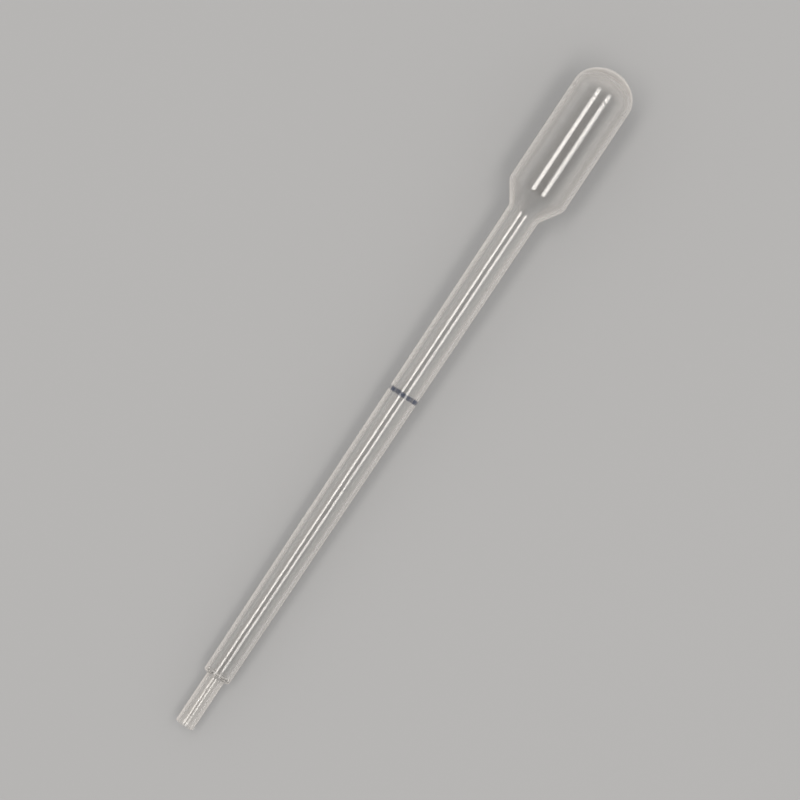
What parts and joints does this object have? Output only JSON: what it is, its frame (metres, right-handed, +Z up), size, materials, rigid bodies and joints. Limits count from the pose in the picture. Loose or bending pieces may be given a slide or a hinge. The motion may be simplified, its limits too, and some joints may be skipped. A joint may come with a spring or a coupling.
{
  "type": "dropper pipette",
  "caption": "Disposable plastic dropper pipette: a round squeeze bulb, a long tapering stem with a printed ring and a narrow stepped outlet tube, blown in one piece.",
  "frame": {"origin": "on the bench, under the middle of the pipette's box as it lies", "axes": "+X along the pipette from the outlet to the bulb, +Y across it in the parting plane, +Z up"},
  "size_m": [0.1, 0.0082, 0.0086],
  "materials": {
    "natural_polyethylene": "uncoloured low-density polyethylene, translucent and milky, with the satin gloss of a blow mould"
  },
  "bodies": {
    "root": {"pipette": "natural_polyethylene"}
  },
  "joints": []
}
